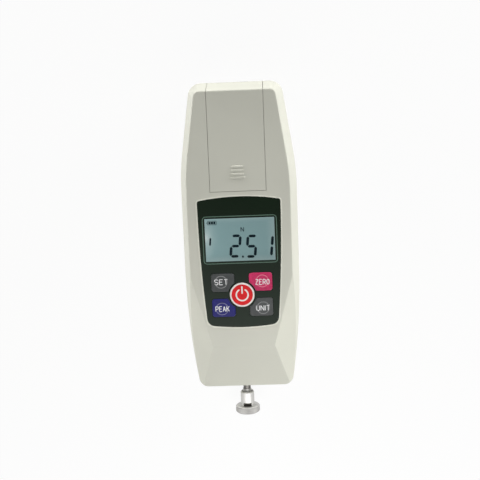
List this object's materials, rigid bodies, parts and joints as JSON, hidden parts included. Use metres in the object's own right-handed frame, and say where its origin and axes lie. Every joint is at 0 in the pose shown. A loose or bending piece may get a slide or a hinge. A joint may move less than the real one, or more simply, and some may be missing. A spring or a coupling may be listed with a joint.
{
  "type": "force gauge",
  "caption": "Hand-held digital force gauge with display, keypad, sliding battery door and a flat push head on its measuring shaft.",
  "frame": {"origin": "centre of the four stand holes, on the rear face", "axes": "+Z out of the front face, +Y to the battery end, -Y along the measuring shaft, +X to the right of the display"},
  "size_m": [0.0762, 0.2252, 0.0385],
  "materials": {
    "case_plastic": "fine spark-eroded grain",
    "fascia": "gloss, dark green-black",
    "window": "clear",
    "display": "grey reflective display",
    "light_guide": "white",
    "conductive_rubber": "matt",
    "circuit_board": "green solder mask",
    "chip_epoxy": "matt",
    "switch_nylon": "matt",
    "plunger_nylon": "matt",
    "key_red": "satin",
    "key_grey": "satin",
    "key_crimson": "satin",
    "key_blue": "satin",
    "zinc_steel": "zinc plated",
    "stainless": "turned",
    "plate_aluminium": "milled",
    "cell_aluminium": "clear anodised",
    "gauge_foil": "foil on a polyimide film",
    "insert_brass": "turned",
    "chrome_head": "polished chrome plate",
    "holder_plastic": "matt",
    "battery_sleeve": "plain shrink sleeve",
    "nickel_strip": "nickel plated"
  },
  "bodies": {
    "case": {"front_housing": "case_plastic", "rear_housing": "case_plastic", "housing_screws": "zinc_steel", "battery_holder": "holder_plastic", "battery_cells": "battery_sleeve", "battery_contacts": "nickel_strip", "battery_springs": "nickel_strip", "fascia_panel": "fascia", "display_window": "window", "lcd_glass": "display", "lcd_backlight": "light_guide", "lcd_connectors": "conductive_rubber", "main_board": "circuit_board", "board_screws": "zinc_steel", "board_chips": "chip_epoxy", "tact_switches": "switch_nylon", "mounting_plate": "plate_aluminium", "plate_screws": "zinc_steel", "stand_inserts": "insert_brass", "anchor_block": "plate_aluminium", "anchor_screws": "zinc_steel", "load_cell": "cell_aluminium", "strain_gauges": "gauge_foil", "load_cell_bolt": "zinc_steel", "overload_stop": "stainless", "stop_screws": "zinc_steel", "shaft_ring": "stainless"},
    "door": {"battery_door": "case_plastic"},
    "shaft": {"measuring_shaft": "stainless", "shaft_lock_nut": "stainless", "overload_collar": "stainless"},
    "head": {"flat_head": "chrome_head"},
    "power_key": {"key_power": "key_red", "plunger_power": "plunger_nylon"},
    "set_key": {"key_set": "key_grey", "plunger_set": "plunger_nylon"},
    "zero_key": {"key_zero": "key_crimson", "plunger_zero": "plunger_nylon"},
    "peak_key": {"key_peak": "key_blue", "plunger_peak": "plunger_nylon"},
    "unit_key": {"key_unit": "key_grey", "plunger_unit": "plunger_nylon"}
  },
  "joints": [
    {"name": "door_slide", "type": "slide", "parent": "case", "child": "door", "axis": [0, 1, 0], "range_m": [0, 0.07]},
    {"name": "shaft_load", "type": "slide", "parent": "case", "child": "shaft", "axis": [0, 1, 0], "range_m": [-0.0004, 0.0004], "stiffness_N_per_m": 125000, "deforming": ["load_cell"]},
    {"name": "head_screw", "type": "hinge", "parent": "shaft", "child": "head", "pos_m": [0, -0.112, 0.0135], "axis": [0, 1, 0], "continuous": true},
    {"name": "power_press", "type": "slide", "parent": "case", "child": "power_key", "axis": [0, 0, -1], "range_m": [0, 0.0005], "stiffness_N_per_m": 3000},
    {"name": "set_press", "type": "slide", "parent": "case", "child": "set_key", "axis": [0, 0, -1], "range_m": [0, 0.0005], "stiffness_N_per_m": 3000},
    {"name": "zero_press", "type": "slide", "parent": "case", "child": "zero_key", "axis": [0, 0, -1], "range_m": [0, 0.0005], "stiffness_N_per_m": 3000},
    {"name": "peak_press", "type": "slide", "parent": "case", "child": "peak_key", "axis": [0, 0, -1], "range_m": [0, 0.0005], "stiffness_N_per_m": 3000},
    {"name": "unit_press", "type": "slide", "parent": "case", "child": "unit_key", "axis": [0, 0, -1], "range_m": [0, 0.0005], "stiffness_N_per_m": 3000}
  ]
}
